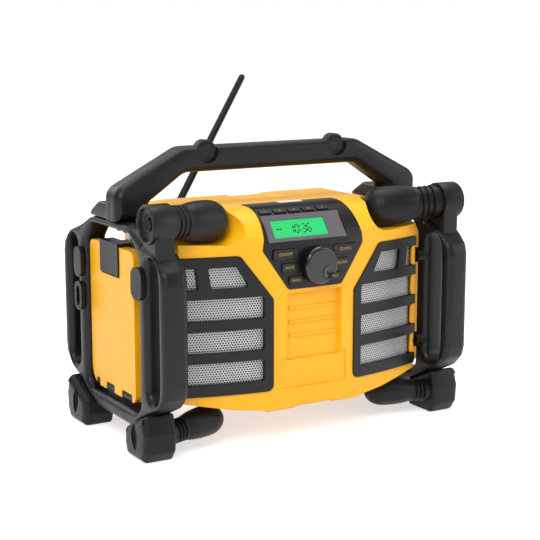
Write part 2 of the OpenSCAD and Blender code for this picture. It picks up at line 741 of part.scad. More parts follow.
module foot(sx, sy) color(SOFT_BLACK) to_corner(sx, sy) difference() {
    along_x(foot_in, foot_out) polygon(foot_outline());
    // Lens-shaped hollow with a slot in the outer face
    along_x(foot_out - 4, foot_out + 1) intersection() {
        translate([-76, 27]) circle(r = 23);
        translate([-106, 31]) circle(r = 23);
    }
    along_x(foot_out - 9, foot_out + 1) translate([-93, 31]) rotate(-8)
        polygon(box_outline(-3.4, 3.4, -10, 10, 3.3));
    at_low_bumper() translate([0, 0, -18]) cylinder(h = 30, r = 8 + running);
    translate([frame_mid, -rib_mid, -1]) cylinder(h = 80, r = 2.6);
    translate([frame_mid, -rib_mid, -1]) cylinder(h = 19, r = 5.4);
}

// ---- Handle ----

function handle_outer(g) = rounded(both([[leg_out - g, frame_top, 0], [leg_out - g, frame_top + 38 - g, 18],
                                         [handle_half + 1, handle_top - g, 30]]));
function handle_inner(g) = rounded(both([[leg_in - g, frame_top - 1, 0],
                                         [leg_in - 6 - g, frame_top + 21 + g, 14],
                                         [handle_half - 2, handle_low + g, 22]]));

module handle_section(g) difference() {
    polygon(handle_outer(g));
    polygon(handle_inner(-g));
}

// Bores of the two bolts through the bar and of the four screws that come up through the frames
module handle_bores() for (s = SIDES) {
    rod_y(s * boss_x, boss_z, handle_front_y - 10, handle_back_y + 10, 3 + running);
    for (sy = SIDES) translate([s * leg_screw_x, handle_y + sy * leg_screw_y, frame_top - 1])
        cylinder(h = 19, r = 3 + running);
}

// The front half: its legs reach forward at the foot, and each bolt boss lies in a round recess
module handle_front() color(BLACK) difference() {
    union() {
        intersection() {
            along_y(handle_front_y - 10, handle_y) handle_section(0);
            along_x(-leg_out, leg_out) polygon([[handle_y, frame_top], [handle_front_y - 4, frame_top],
                [handle_front_y - 4, frame_top + 26], [handle_front_y, frame_top + 54],
                [handle_front_y, handle_top + 1], [handle_y, handle_top + 1]]);
        }
        for (s = SIDES) rod_y(s * boss_x, boss_z, handle_front_y + 4, handle_y, boss_r);
    }
    difference() {
        along_y(handle_front_y + 3, handle_y + 1) handle_section(3.2);
        for (s = SIDES) rod_y(s * boss_x, boss_z, handle_front_y - 10, handle_y + 10, boss_r + 4);
        translate([-300, -100, 0]) cube([600, 200, frame_top + 22]);
    }
    handle_bores();
    for (s = SIDES) {
        rod_y(s * boss_x, boss_z, handle_front_y - 30, handle_y - 8, 5);
        rod_y(s * boss_x, boss_z, handle_front_y - 3, handle_front_y + 4.5, boss_r + 1);
    }
}

// The rear half, with a heel on each frame's top rail and a hexagon pocket for each nut
module handle_rear() color(BLACK) difference() {
    union() {
        along_y(handle_y, handle_back_y) handle_section(0);
        both_sides() intersection() {
            along_y(handle_y, 60) polygon(rounded([[frame_in - 16, frame_top, 0], [leg_out, frame_top, 0],
                [leg_out, frame_top + 21, 6], [frame_in - 13, frame_top + 21, 13]]));
            along_x(0, leg_out) polygon([[handle_y, frame_top], [58, frame_top], [50, frame_top + 9],
                [28, frame_top + 21], [handle_y, frame_top + 21]]);
        }
    }
    difference() {
        along_y(handle_y - 1, handle_back_y - 3) handle_section(3.2);
        for (s = SIDES) rod_y(s * boss_x, boss_z, handle_y - 10, handle_back_y, boss_r);
        translate([-300, -100, 0]) cube([600, 200, frame_top + 22]);
    }
    handle_bores();
    for (s = SIDES) translate([s * boss_x, handle_back_y + 1, boss_z]) rotate([90, 0, 0]) rotate(30)
        cylinder(h = 6, r = 5.8, $fn = 6);
}

module handle_bolts() color("silver") for (s = SIDES) {
    rod_y(s * boss_x, boss_z, handle_y - 8, handle_back_y - 1, 3);
    rod_y(s * boss_x, boss_z, handle_y - 12, handle_y - 8, 4.8);
    translate([s * boss_x, handle_back_y - 0.7, boss_z]) rotate([90, 0, 0]) rotate(30)
        cylinder(h = 4, r = 5.6, $fn = 6);
}

// ---- Doors, boxes and battery ----

module knuckle_rods(r, grow) for (k = KNUCKLES) rod_y(hinge_x, hinge_z, k[0] - grow, k[1] + grow, r);

// A box open to the side, with hinge knuckles and a pin along its lower edge
module tub(s) color(BLACK) to_side(s) {
    difference() {
        union() {
            tub_field(0);
            for (k = KNUCKLES) translate([tub_out - 4, k[0], door_low + 4.5])
                cube([hinge_x - tub_out + 4, k[1] - k[0], 4]);
            knuckle_rods(knuckle_r, 0);
            translate([tub_out - 4, latch_mid - latch_w / 2, door_high - 6]) cube([4, latch_w, 6.9]);
        }
        along_x(tub_in + wall, tub_out + 1) polygon(door_outline(-4 - wall));
    }
    rod_y(hinge_x, hinge_z, KNUCKLES[0][0], KNUCKLES[2][1], pin_r);
}

// A lid with a round lower edge on the hinge and a notch for its latch
module side_door(s) color(YELLOW) to_side(s) difference() {
    union() {
        difference() {
            along_x(door_in, pod_x) polygon(door_outline(0));
            along_x(door_in - 1, pod_x - wall) polygon(door_outline(-wall));
        }
        intersection() {
            along_x(door_in, pod_x) polygon(door_outline(0));
            union() {
                rod_y(hinge_x, hinge_z, door_front, door_rear, knuckle_r);
                translate([pod_x - 11, latch_mid - latch_w / 2 - 5, latch_low - 5])
                    cube([10, latch_w + 10, 60]);
            }
        }
    }
    for (k = KNUCKLES) translate([door_in - 1, k[0] - 0.5, door_low - 1])
        cube([door_d + 2, k[1] - k[0] + 1, 11]);
    rod_y(hinge_x, hinge_z, door_front - 1, door_rear + 1, pin_r + running);
    translate([pod_x - 7.6, latch_mid - latch_w / 2 - 0.6, latch_low - 2.4]) cube([11, latch_w + 1.2, 60]);
    rod_y(latch_pin_x, latch_pin_z, latch_mid - latch_w / 2 - 2.5, latch_mid + latch_w / 2 + 2.5,
        pin_r + running);
}

module latch(s) color(BLACK) to_side(s) {
    translate([0, latch_mid - latch_w / 2, 0]) {
        translate([pod_x - 1.6, 0, latch_low + 0.4]) cube([3.6, latch_w, door_high - latch_low + 4]);
        translate([door_in - 3, 0, door_high + 1.2]) cube([door_d + 5, latch_w, 3.2]);
    }
    intersection() {
        rod_y(latch_pin_x, latch_pin_z, latch_mid - latch_w / 2, latch_mid + latch_w / 2, 3);
        translate([0, -200, 0]) cube([pod_x + 2, 400, 400]);
    }
    rod_y(latch_pin_x, latch_pin_z, latch_mid - latch_w / 2 - 2.2, latch_mid + latch_w / 2 + 2.2, pin_r);
}

module battery_pack() color("#333335") difference() {
    union() {
        along_x(tub_in + wall + seat, door_in - 8) polygon(box_outline(-28, 44, 82, 206, 6));
        along_x(tub_in + wall + seat, door_in - 20)
            polygon(box_outline(-18, 34, door_low + 4 + wall + seat, 83, 3));
    }
    for (i = [0:5]) translate([door_in - 9.5, -20, 100 + 9 * i]) cube([4, 56, 3]);
}

module power_supply() color("#8d9096") {
    translate([-52, 14, body_lift + wall]) cube([104, rear_y - 36, 44]);
    for (i = [0:8]) translate([-50 + 12 * i, 18, body_lift + wall + 44]) cube([3, rear_y - 44, 12]);
}

// Mains inlet through the back wall: a collar round its socket, with two contacts inside
module mains_inlet() color(BLACK) {
    difference() {
        union() {
            along_y(rear_y - 9, rear_y + 1) polygon(box_outline(-15, 15, 78, 98, 3));
            along_y(rear_y, rear_y + 14) polygon(box_outline(-18, 18, 75, 101, 5));
        }
        along_y(rear_y + 2, rear_y + 15) polygon(box_outline(-10, 10, 83, 93, 4.9));
    }
    for (s = SIDES) rod_y(s * 4.3, 88, rear_y - 1, rear_y + 11, 1.2);
}

module aerial_whip() color(SOFT_BLACK) difference() {
    translate([aerial_x, aerial_y - 3.7, aerial_z]) {
        rotate([-90, 0, 0]) cylinder(h = 7.4, r = 9);
        translate([0, 3.7, 0]) rotate([0, whip_lean, 0]) {
            translate([0, 0, 6]) cylinder(h = 8, r = 4.2);
            translate([0, 0, 13]) cylinder(h = 16, r1 = whip_r + 0.8, r2 = whip_r);
            translate([0, 0, 28]) cylinder(h = whip_l - 28 - whip_r, r1 = whip_r, r2 = whip_r - 0.8);
            translate([0, 0, whip_l - whip_r]) sphere(r = whip_r - 0.8);
        }
    }
    rod_y(aerial_x, aerial_z, rear_y, aerial_y + 10, 3.5 + running);
}

front_housing();
rear_housing();
housing_screws();
control_panel();
lcd_bezel();
lcd_lens();
lcd_module();
panel_label();
panel_board();
tuning_knob();
knob_shaft();
knob_encoder();
for (i = [1:5]) preset_key(i);
for (i = [0:5]) function_key(i % 3, i < 3 ? -1 : 1);
grille_frame(-1);  // grille_frame_left
grille_frame(1);  // grille_frame_right
speaker_mesh(-1);  // speaker_mesh_left
speaker_mesh(1);  // speaker_mesh_right
speaker_basket(-1);  // speaker_basket_left
speaker_basket(1);  // speaker_basket_right
speaker_cone(-1);  // speaker_cone_left
speaker_cone(1);  // speaker_cone_right
side_frame(-1);  // side_frame_left
side_frame(1);  // side_frame_right
frame_screws();
frame_pads();
bumper(-1, -1);  // bumper_front_left
bumper(1, -1);  // bumper_front_right
low_bumper(-1, -1);  // low_bumper_front_left
low_bumper(1, -1);  // low_bumper_front_right
low_bumper(-1, 1);  // low_bumper_rear_left
low_bumper(1, 1);  // low_bumper_rear_right
foot(-1, -1);  // foot_front_left
foot(1, -1);  // foot_front_right
foot(-1, 1);  // foot_rear_left
foot(1, 1);  // foot_rear_right
handle_front();
handle_rear();
handle_bolts();
tub(-1);  // storage_tub
side_door(-1);  // storage_door
latch(-1);  // storage_latch
tub(1);  // battery_bay
side_door(1);  // battery_door
latch(1);  // battery_latch
battery_pack();
power_supply();
mains_inlet();
aerial_whip();
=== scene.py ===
"""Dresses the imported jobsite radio: rounded cage, handle, feet, perforated grilles, display and keys."""
import math

import bmesh
import bpy
from bpy.props import FloatProperty, FloatVectorProperty, PointerProperty
from mathutils import Matrix, Vector


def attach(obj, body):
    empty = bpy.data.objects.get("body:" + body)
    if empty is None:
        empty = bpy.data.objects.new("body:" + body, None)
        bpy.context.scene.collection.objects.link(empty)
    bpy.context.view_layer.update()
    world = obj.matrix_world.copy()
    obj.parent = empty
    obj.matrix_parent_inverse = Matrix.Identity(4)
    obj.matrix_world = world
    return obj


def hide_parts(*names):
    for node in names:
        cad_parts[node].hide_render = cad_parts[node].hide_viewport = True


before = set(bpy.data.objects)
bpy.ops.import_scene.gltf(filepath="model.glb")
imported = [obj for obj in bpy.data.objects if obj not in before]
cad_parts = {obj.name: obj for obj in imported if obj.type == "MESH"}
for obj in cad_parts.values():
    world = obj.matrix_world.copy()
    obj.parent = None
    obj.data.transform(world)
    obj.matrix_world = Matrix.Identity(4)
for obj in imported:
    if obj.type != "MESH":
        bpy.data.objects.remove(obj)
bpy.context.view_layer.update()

bl_info = {
    "name": "Jobsite radio",
    "version": (1, 0, 0),
    "blender": (4, 5, 0),
    "location": "View3D > Sidebar > Radio",
    "description": "Pieces and finishes of a caged jobsite radio",
    "category": "Object",
}

SIDES = (("left", -1), ("right", 1))
ENDS = (("front", -1), ("rear", 1))
PRESETS = [f"preset_key_{i}" for i in range(1, 6)]
KEY_ROWS = ("upper", "middle", "lower")

# Places in mm that the dressed pieces share with the solids
FRONT_Y, BOW_R, ROLL_R, BODY_TOP = 128.0, 530.0, 60.0, 296.0
FRAME_IN, FRAME_OUT, FRAME_HALF, FRAME_TOP, FRAME_BOTTOM = 190.0, 223.5, 153.5, 282.0, 29.0
WINDOW_HALF, WINDOW_LOW, WINDOW_HIGH = 80.5, 50.0, 271.0
SLOT_MID, SLOT_W, SLOT_LOW, SLOT_HIGH = 118.5, 30.0, 73.0, 250.0
CUP_IN, CUP_OUT, CUP_Y, CUP_R = 197.0, 227.5, -113.0, 24.0
RIB_MID, ARM_R = 92.0, 10.0
ARM_HEIGHTS, ARM_FROM = (216.0, 100.0), (181.0, 156.0)
CUP_Z = 290.0
CUP_RING = 5.6
FOOT_IN, FOOT_OUT = 193.5, 236.0
HANDLE_TOP, HANDLE_LOW, HANDLE_Y, HANDLE_FRONT, HANDLE_BACK = 369.0, 337.0, -9.5, -27.5, 8.5
LEG_OUT, LEG_IN, HANDLE_HALF = 225.5, 186.0, 130.0
BOLT_X, BOLT_Z, BOLT_BOSS_R = 97.0, 363.0, 14.0
GRILLE_IN, GRILLE_LOW, GRILLE_HIGH, MESH_OUT = 60.0, 70.0, 243.0, 169.0
ROLL_AT = Vector((0.0, -FRONT_Y + ROLL_R, BODY_TOP - ROLL_R))
LCD_TILT, LCD_AT, LCD_FACE = 38.0, Vector((-16.0, -1.0)), ROLL_R - 2.2
PRESET_TILT, PRESET_X, PRESET_PITCH, PRESET_FACE = 63.0, -13.0, 21.0, ROLL_R + 2.5
KNOB_Z = 226.0
KEY_X, KEY_Z = (44.0, 38.5, 29.5), (15.5, -1.5, -18.0)

# The handle's front reaches forward at the foot of its legs: how far, and from which height above the frame
LEG_REACH, REACH_HIGH, REACH_SPAN = 4.0, 54, 28
# From the handle's parting line to the recess round a bolt's boss, to the nut's pocket and past the outside
RECESS_AT, NUT_AT, NUT_R, PAST = 13.5, -12, 6.4, 30
# A foot's hollow: two circles in Y and Z whose overlap is the lens, and the slot in it
LENS_R, LENS_A, LENS_B, LENS_DEEP = 23, Vector((-76, 27)), Vector((-106, 31)), 3.6
FOOT_SLOT_AT, FOOT_SLOT_DEEP, FOOT_SLOT_LEAN = Vector((-93, 31)), 9, -8
# The perforated sheet's rows as a share of the pitch, and its plain margin
ROW_SHARE, SHEET_MARGIN = 0.866, 2.2
# The time on the display, from the middle of its glass, and its marks as (x, y, width)
DIGIT_W, DIGIT_H, DIGIT_LINE, DIGIT_PITCH = 5, 11.5, 1.6, 7.5
DIGIT_X, DIGIT_Y, COLON_GAP, MARK_H = -14.5, -6.5, 3, 1.4
MARKS = ((1.0, -3.6, 1.4), (1.0, 1.6, 1.4), (-33, -0.5, 3.4), (-28.6, -0.5, 3.4))
# Height of the printing on the presets, the upper keys and the other keys
PRESET_TEXT, UPPER_TEXT, KEY_TEXT = 5.0, 5.4, 4.6

# The camera of the photograph: its place in metres, its turn in degrees and its lens in mm
CAMERA_AT, CAMERA_AZIMUTH, CAMERA_ELEVATION, CAMERA_LENS = (-0.8930, -1.5194, 0.5241), -30.711, 10.498, 89.66
# Soft boxes: name, place and width in metres, power in watts
LAMPS = (("key", (-1.5, -1.5, 1.9), 1.3, 34), ("fill", (1.9, -1.4, 1.0), 1.6, 15),
         ("top", (0.1, 0.3, 2.1), 1.5, 22), ("back", (-0.6, 1.9, 1.3), 1.2, 12))
LAMP_AIM = Vector((0, 0, 0.18))
FLOOR_HALF = 6
ROOM_LIGHT = 0.55


# ---------------------------------------------------------------- small helpers

def srgb(hex_colour):
    """A hex colour as three sRGB numbers, as a COLOR_GAMMA property holds it."""
    return [int(hex_colour[i:i + 2], 16) / 255 for i in (1, 3, 5)]


def spread(values):
    """Linear RGBA from three sRGB numbers."""
    return [v / 12.92 if v <= 0.04045 else ((v + 0.055) / 1.055) ** 2.4 for v in values] + [1.0]


def linear(hex_colour):
    """Turns an sRGB hex colour into linear RGBA."""
    return spread(srgb(hex_colour))


def add(tree, kind, at=(0, 0), links=None, **settings):
    """Adds a node with its settings. links maps an input to a value or to another node's output."""
    node = tree.nodes.new(kind)
    node.location = at
    for name, value in settings.items():
        setattr(node, name, value)
    for name, value in (links or {}).items():
        if isinstance(value, bpy.types.NodeSocket):
            tree.links.new(value, node.inputs[name])
        else:
            node.inputs[name].default_value = value
    return node


def new_object(name, mesh, material, smooth=35):
    """An object at the origin with one material and smooth faces between sharp edges."""
    obj = bpy.data.objects.new(name, mesh)
    bpy.context.scene.collection.objects.link(obj)
    mesh.materials.clear()
    mesh.materials.append(material)
    shade(obj, smooth)
    return obj


def shade(obj, angle):
    """Smooth faces, with edges past the angle in degrees kept sharp."""
    mesh = obj.data
    mesh.polygons.foreach_set("use_smooth", [True] * len(mesh.polygons))
    mesh.set_sharp_from_angle(angle=math.radians(angle))


def finish_mesh(bm, name):
    """Closes doubles, turns the faces outwards and returns the mesh."""
    bmesh.ops.remove_doubles(bm, verts=bm.verts, dist=1e-6)
    bmesh.ops.recalc_face_normals(bm, faces=bm.faces)
    mesh = bpy.data.meshes.new(name)
    bm.to_mesh(mesh)
    bm.free()
    return mesh


def corner(a, b, c, r):
    """The points of one rounded corner at b, between a and c."""
    if r <= 0:
        return [b]
    u, v = (a - b).normalized(), (c - b).normalized()
    half = u.angle(v) / 2
    mid = b + (u + v).normalized() * (r / math.sin(half))
    p, q = b + u * (r / math.tan(half)) - mid, b + v * (r / math.tan(half)) - mid
    a0 = math.atan2(p.y, p.x)
    turn = math.atan2(q.y, q.x) - a0
    turn = turn - math.tau if turn > math.pi else turn + math.tau if turn < -math.pi else turn
    n = max(4, round(r / 2.5))
    angles = [a0 + turn * i / n for i in range(n + 1)]
    return [mid + Vector((math.cos(t), math.sin(t))) * r for t in angles]


def rounded(points):
    """A closed outline in mm from (u, v, corner radius) points, running counter-clockwise."""
    flat = [Vector(p[:2]) for p in points]
    out = []
    for i, p in enumerate(points):
        out += corner(flat[i - 1], flat[i], flat[(i + 1) % len(flat)], p[2])
    area = sum(p.x * q.y - q.x * p.y for p, q in zip(out, out[1:] + out[:1]))
    return out if area > 0 else out[::-1]


def both(points):
    """The right half of a symmetric outline, listed upwards, with its mirror image."""
    return list(points) + [(-u, v, r) for u, v, r in reversed(points)]


def box_outline(u0, u1, v0, v1, r):
    """A rectangle's outline with rounded corners."""
    return rounded([(u0, v0, r), (u1, v0, r), (u1, v1, r), (u0, v1, r)])


def resampled(points, step):
    """Adds points along the straight stretches of a closed outline, no more than step apart."""
    out = []
    for i, p in enumerate(points):
        q = points[(i + 1) % len(points)]
        n = max(1, math.ceil((q - p).length / step))
        out += [p.lerp(q, k / n) for k in range(n)]
    return out


def room(points, others, edge):
    """How wide each point's edge can be rounded before it meets the next outline."""
    def gap(p, a, b):
        along = b - a
        t = max(0.0, min(1.0, (p - a).dot(along) / max(1e-9, along.length_squared)))
        return (p - a - along * t).length

    wide = []
    for p in points:
        near = min((gap(p, loop[k - 1], loop[k]) for loop in others for k in range(len(loop))), default=1e3)
        wide.append(min(edge, 0.45 * near))
    for _ in range(6):
        wide = [min(w, (wide[i - 1] + 2 * w + wide[(i + 1) % len(wide)]) / 4) for i, w in enumerate(wide)]
    return wide


def moved_in(points, wide, sign):
    """Moves each point of a counter-clockwise outline inwards by its own distance."""
    out = []
    for i, p in enumerate(points):
        e0, e1 = (p - points[i - 1]).normalized(), (points[(i + 1) % len(points)] - p).normalized()
        n0, n1 = Vector((-e0.y, e0.x)), Vector((-e1.y, e1.x))
        m = (n0 + n1).normalized()
        out.append(p + m * (sign * wide[i] / max(0.4, m.dot(n0))))
    return out


def plate(bm, outline, low, high, axis, edge=2.0, back=None, holes=(), steps=5, step=7.0):
    """Adds a plate in mm across axis X or Y, from low to high. Its round edges narrow where it is narrow."""
    back = edge if back is None else back
    loops = [resampled(loop, step) for loop in (outline, *holes)]
    rims = ([], [])
    for k, loop in enumerate(loops):
        sign = -1 if k else 1
        wide = room(loop, [other for other in loops if other is not loop], max(edge, back))
        turns = [math.pi / 2 * t / steps for t in range(steps + 1)]
        levels = [(min(1, back / max(edge, back)) * (1 - math.cos(t)), low + back * (1 - math.sin(t)))
                  for t in reversed(turns)]
        levels += [(min(1, edge / max(edge, back)) * (1 - math.cos(t)), high - edge * (1 - math.sin(t)))
                   for t in turns]
        last = None
        for at_level, (share, depth) in enumerate(levels):
            ring = moved_in(loop, [w * share for w in wide], sign)
            spots = [(depth, p.x, p.y) if axis == "X" else (p.x, depth, p.y) for p in ring]
            verts = [bm.verts.new([v / 1000 for v in spot]) for spot in spots]
            n = len(verts)
            if last:
                for i in range(n):
                    bm.faces.new((last[i], last[(i + 1) % n], verts[(i + 1) % n], verts[i]))
            last = verts
            if at_level in (0, len(levels) - 1):
                rim = rims[0 if at_level == 0 else 1]
                rim += [bm.edges.get((verts[i], verts[(i + 1) % n])) or
                        bm.edges.new((verts[i], verts[(i + 1) % n])) for i in range(n)]
    for rim in rims:
        bmesh.ops.triangle_fill(bm, use_beauty=True, use_dissolve=False, edges=rim)


def spin(bm, profile, steps=64, matrix=None):
    """Adds a turned shape about local Z from (radius, height) points in mm, open at neither end."""
    rings = []
    for r, z in profile:
        if r < 1e-6:
            rings.append([bm.verts.new((0, 0, z / 1000))])
        else:
            turns = [math.tau * i / steps for i in range(steps)]
            rings.append([bm.verts.new((r * math.cos(t) / 1000, r * math.sin(t) / 1000, z / 1000))
                          for t in turns])
    for a, b in zip(rings, rings[1:]):
        for i in range(steps):
            j = (i + 1) % steps
            quad = [a[i % len(a)], a[j % len(a)], b[j % len(b)], b[i % len(b)]]
            face = list(dict.fromkeys(quad))
            if len(face) > 2:
                bm.faces.new(face)
    if matrix is not None:
        verts = [v for ring in rings for v in ring]
        bmesh.ops.transform(bm, matrix=matrix, verts=verts)


def across(x, y, z):
    """Turns local Z to run along Y, towards the front, from a point in mm."""
    return Matrix.Translation(Vector((x, y, z)) / 1000) @ Matrix.Rotation(math.radians(90), 4, "X")


def on_roll(angle, x, y, z):
    """A frame on the rolled panel in mm: X along the radio, Y up the roll, Z outwards."""
    turn = Matrix.Rotation(math.radians(90 - angle), 4, "X")
    return Matrix.Translation(ROLL_AT / 1000) @ turn @ Matrix.Translation(Vector((x, y, z)) / 1000)


def bow_y(x, g):
    """Y of the bowed front at x, set back by g, all in mm."""
    return -FRONT_Y + BOW_R - math.sqrt((BOW_R - g) ** 2 - x * x)


def mirrored(bm, side):
    """Mirrors a shape of the right side across X when it is for the left."""
    if side < 0:
        bmesh.ops.scale(bm, vec=(-1, 1, 1), verts=bm.verts)


def baked(obj):
    """Applies an object's modifiers to its mesh."""
    held = obj.evaluated_get(bpy.context.evaluated_depsgraph_get())
    mesh = bpy.data.meshes.new_from_object(held)
    obj.modifiers.clear()
    obj.data = mesh
    return obj


def cut(obj, bm, smooth=30):
    """Cuts the shapes in bm out of an object."""
    tool = bpy.data.objects.new("tool", finish_mesh(bm, "tool"))
    bpy.context.scene.collection.objects.link(tool)
    knife = obj.modifiers.new("cut", "BOOLEAN")
    knife.operation, knife.solver, knife.object = "DIFFERENCE", "EXACT", tool
    knife.use_self = True
    baked(obj)
    bpy.data.objects.remove(tool)
    shade(obj, smooth)
    return obj


def dress(nodes, material):
    """Gives CAD pieces one finish."""
    for node in nodes:
        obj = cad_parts[node]
        obj.data.materials.clear()
        obj.data.materials.append(material)


def stand_for(obj, node, body):
    """Puts a made piece on its body, in place of its CAD node where it has one."""
    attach(obj, body)
    if node:
        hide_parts(*([node] if isinstance(node, str) else node))
    return obj


# ---------------------------------------------------------------- finishes

def start(name):
    """An empty material, its tree, its output node and the Object coordinates."""
    mat = bpy.data.materials.get(name) or bpy.data.materials.new(name)
    mat.use_nodes = True
    tree = mat.node_tree
    tree.nodes.clear()
    out = add(tree, "ShaderNodeOutputMaterial", (900, 0))
    where = add(tree, "ShaderNodeTexCoord", (-1100, 0))
    return mat, tree, out, where.outputs["Object"]


def moulded(name, colour, roughness, grain, depth, soft=0.8, specular=0.5, sheen=0.0, vary=0.06, coat=0.0):
    """A moulded plastic or rubber: one colour, a spark-eroded grain of a given size in mm, soft edges."""
    mat, tree, out, where = start(name)
    cloud = add(tree, "ShaderNodeTexNoise", (-800, 250), {"Vector": where, "Scale": 9.0, "Detail": 3.0})
    tone = add(tree, "ShaderNodeMapRange", (-600, 250), {"Value": cloud.outputs["Fac"], "From Min": 0.3,
               "From Max": 0.7, "To Min": 1 - vary, "To Max": 1 + vary})
    tint = add(tree, "ShaderNodeHueSaturation", (-380, 250), {"Value": tone.outputs["Result"],
               "Color": colour})
    grit = add(tree, "ShaderNodeTexNoise", (-800, -50), {"Vector": where, "Scale": 1000 / grain,
               "Detail": 2.0, "Roughness": 0.6})
    wear = add(tree, "ShaderNodeTexNoise", (-800, -300), {"Vector": where, "Scale": 22.0, "Detail": 4.0})
    rough = add(tree, "ShaderNodeMapRange", (-380, -120), {"Value": wear.outputs["Fac"], "From Min": 0.3,
                "From Max": 0.7, "To Min": roughness - 0.05, "To Max": roughness + 0.05})
    edge = add(tree, "ShaderNodeBevel", (-380, -480), {"Radius": soft / 1000}, samples=6)
    bump = add(tree, "ShaderNodeBump", (-120, -350), {"Height": grit.outputs["Fac"], "Distance": depth / 1000,
               "Strength": 1.0, "Normal": edge.outputs["Normal"]})
    shader = add(tree, "ShaderNodeBsdfPrincipled", (250, 0), {"Base Color": tint.outputs["Color"],
                 "Roughness": rough.outputs["Result"], "Normal": bump.outputs["Normal"],
                 "Specular IOR Level": specular, "Sheen Weight": sheen, "Sheen Roughness": 0.4,
                 "Coat Weight": coat, "Coat Roughness": 0.12})
    tree.links.new(shader.outputs["BSDF"], out.inputs["Surface"])
    return mat


def metal(name, colour, roughness, soft=0.3, metallic=1.0):
    """Plated or painted steel with a fine uneven sheen."""
    mat, tree, out, where = start(name)
    cloud = add(tree, "ShaderNodeTexNoise", (-800, 0), {"Vector": where, "Scale": 300.0, "Detail": 3.0})
    rough = add(tree, "ShaderNodeMapRange", (-500, 0), {"Value": cloud.outputs["Fac"],
                "To Min": roughness - 0.08, "To Max": roughness + 0.08})
    edge = add(tree, "ShaderNodeBevel", (-380, -280), {"Radius": soft / 1000}, samples=4)
    bump = add(tree, "ShaderNodeBump", (-120, -250), {"Height": cloud.outputs["Fac"], "Distance": 0.00003,
               "Normal": edge.outputs["Normal"]})
    shader = add(tree, "ShaderNodeBsdfPrincipled", (250, 0), {"Base Color": colour, "Metallic": metallic,
                 "Roughness": rough.outputs["Result"], "Normal": bump.outputs["Normal"]})
    tree.links.new(shader.outputs["BSDF"], out.inputs["Surface"])
    return mat


def backlit(name, colour, glow):
    """The display: an even green backlight behind clear, glossy acrylic."""
    mat, tree, out, _ = start(name)
    shader = add(tree, "ShaderNodeBsdfPrincipled", (250, 0), {"Base Color": colour, "Roughness": 0.12,
                 "Emission Color": colour, "Emission Strength": glow, "Coat Weight": 0.6,
                 "Coat Roughness": 0.03})
    tree.links.new(shader.outputs["BSDF"], out.inputs["Surface"])
    return mat


FINISHES = {}


def make_finishes(look):
    """Makes every finish, from the colours that can be set and those that can't."""
    yellow = spread(look.yellow)
    black = spread(look.black)
    rubber = spread(look.rubber)
    # ABS moulded in a lightly sparked tool: an even satin yellow with soft highlights.
    FINISHES["yellow"] = moulded("abs_moulded_yellow", yellow, 0.40, 0.9, 0.012, 0.9, 0.45, vary=0.02)
    # Glass-filled nylon with a coarse sparked grain: dark grey in the light, never shiny.
    FINISHES["black"] = moulded("nylon_moulded_black", black, 0.40, 1.1, 0.03, 1.0, 0.32, vary=0.08)
    # Styrene rubber moulded over the corners: darker and duller, with a faint bloom.
    FINISHES["rubber"] = moulded("rubber_moulded_black", rubber, 0.44, 1.3, 0.025, 0.7, 0.28, 0.03, vary=0.08)
    # ABS from a polished tool: the panel and the knob mirror the lights.
    FINISHES["gloss"] = moulded("abs_polished_black", linear("#070708"), 0.20, 2.0, 0.002, 0.5, 0.5,
                                coat=0.35)
    FINISHES["panel"] = moulded("abs_satin_black", linear("#0c0c0e"), 0.34, 0.8, 0.01, 0.6, 0.35)
    # Silicone keys: dull, a touch lighter than the panel round them.
    FINISHES["key"] = moulded("silicone_moulded_black", linear("#131314"), 0.40, 0.8, 0.01, 0.8, 0.4, 0.05)
    FINISHES["bezel"] = moulded("polycarbonate_moulded_grey", linear("#5d5b60"), 0.36, 0.8, 0.01, 0.5)
    FINISHES["foil"] = metal("foil_painted_silver", linear("#f4f4f6"), 0.45, 0.2, 0.1)
    # Perforated steel sheet, painted silver: light grey and even.
    FINISHES["mesh"] = metal("steel_sheet_painted_silver", linear("#c4c4c6"), 0.42, 0.1, 0.35)
    FINISHES["steel"] = metal("steel_zinc_plated", linear("#b4b6ba"), 0.30)
    FINISHES["dark"] = metal("steel_black_oxide", linear("#1d1d1f"), 0.38, metallic=0.6)
    FINISHES["basket"] = metal("steel_pressed_painted_grey", linear("#55565a"), 0.5, 0.3, 0.2)
    FINISHES["cloth"] = moulded("cloth_woven_black", linear("#101011"), 0.9, 0.6, 0.05)
    FINISHES["cone"] = moulded("paper_pressed_black", linear("#26262a"), 0.85, 1.5, 0.05)
    FINISHES["board"] = moulded("board_lacquered_green", linear("#1d5b33"), 0.35, 1.5, 0.01)
    FINISHES["cast"] = metal("aluminium_cast_bare", linear("#9a9ca0"), 0.45)
    FINISHES["gold"] = moulded("legend_printed_gold", linear("#c9a24a"), 0.4, 1.0, 0.004)
    FINISHES["segment"] = moulded("display_segment_dark", linear("#02180d"), 0.3, 1.0, 0.001)
    FINISHES["display"] = backlit("acrylic_backlit_green", linear("#17b45f"), 0.35)
    return FINISHES


class RadioLook(bpy.types.PropertyGroup):
    """Colours of the radio."""
    yellow: FloatVectorProperty(name="Body colour", description="Colour of the yellow shells and doors",
                                subtype="COLOR_GAMMA", size=3, min=0, max=1, default=srgb("#feb70f"))
    black: FloatVectorProperty(name="Cage colour", description="Colour of the cage, handle and grille frames",
                               subtype="COLOR_GAMMA", size=3, min=0, max=1, default=srgb("#0f0f10"))
    rubber: FloatVectorProperty(name="Rubber colour", description="Colour of the bumpers, feet and aerial",
                                subtype="COLOR_GAMMA", size=3, min=0, max=1, default=srgb("#0c0c0d"))


